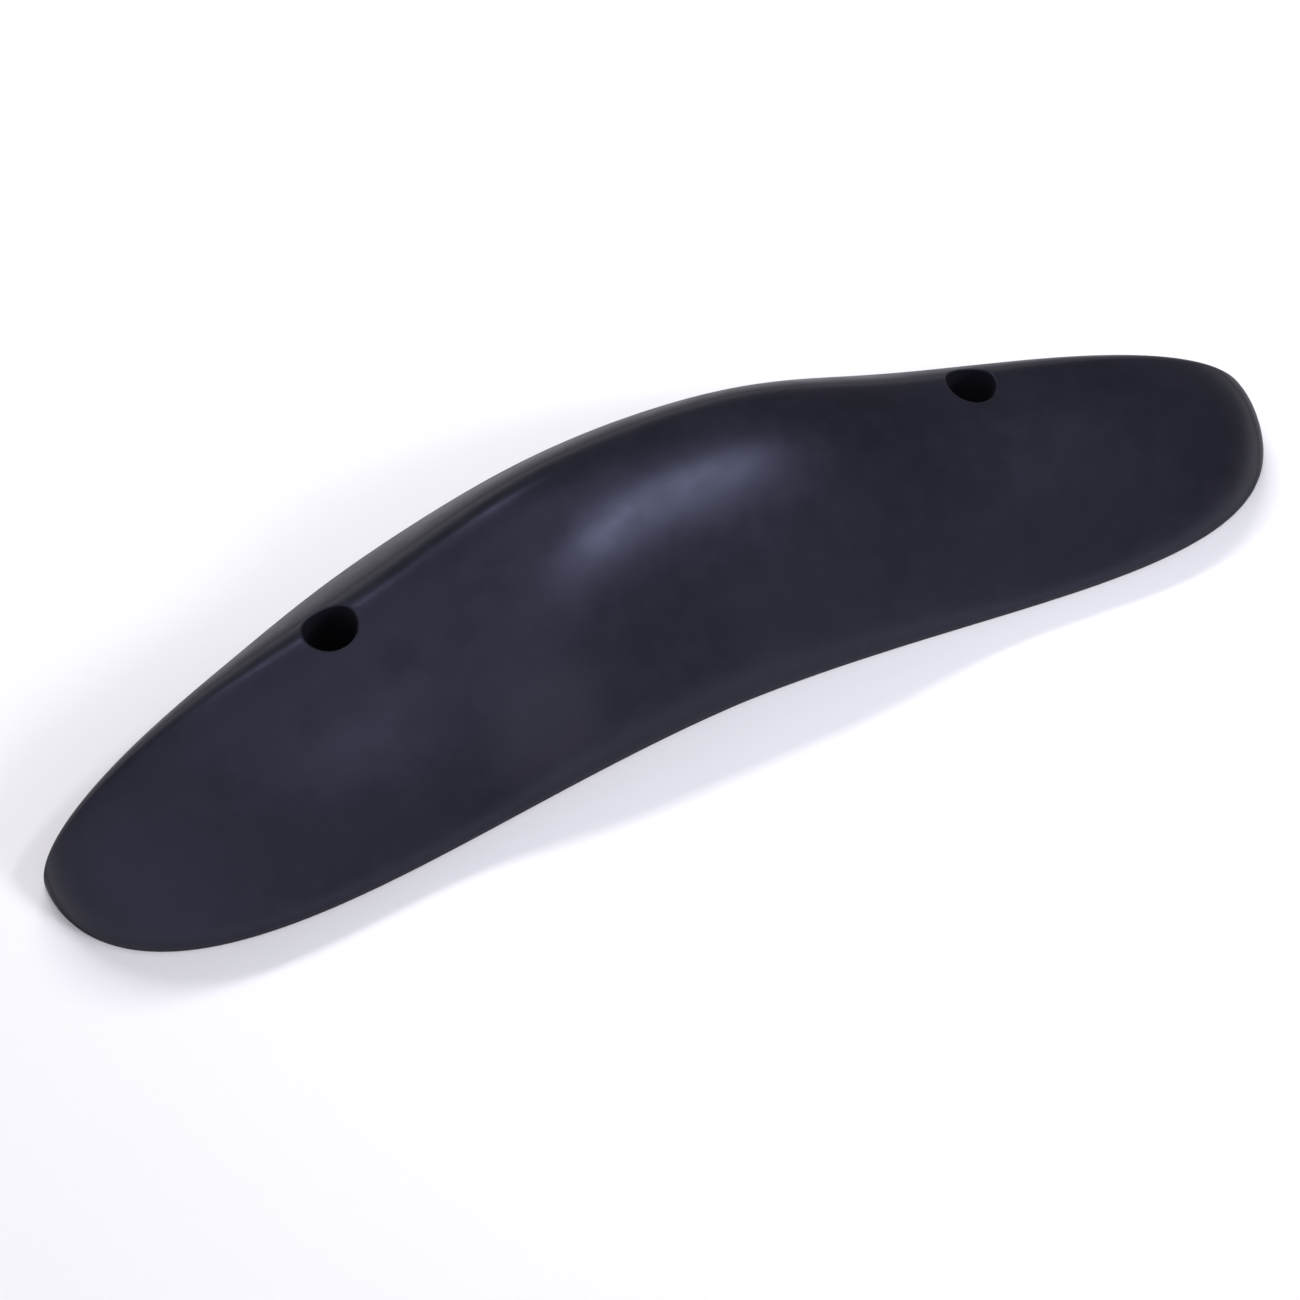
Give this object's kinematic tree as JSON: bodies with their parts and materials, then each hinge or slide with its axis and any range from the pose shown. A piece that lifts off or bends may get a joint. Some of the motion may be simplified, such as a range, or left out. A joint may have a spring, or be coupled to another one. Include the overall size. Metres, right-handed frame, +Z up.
{
  "type": "rubber speed bump",
  "caption": "Low domed rubber road bump, crescent-shaped in plan, with a flat base and steel-bushed counterbored holes for anchor bolts.",
  "frame": {"origin": "on the road surface, at the centre of the footprint's bounding box", "axes": "+X along the bump, +Y towards its steep convex side, +Z up from the road"},
  "size_m": [0.8198, 0.2396, 0.1071],
  "materials": {
    "moulded_rubber": "smooth satin",
    "zinc_steel": "dull zinc plate"
  },
  "bodies": {
    "root": {"rubber_body": "moulded_rubber", "left_bush": "zinc_steel", "left_load_washer": "zinc_steel", "right_bush": "zinc_steel", "right_load_washer": "zinc_steel"}
  },
  "joints": []
}
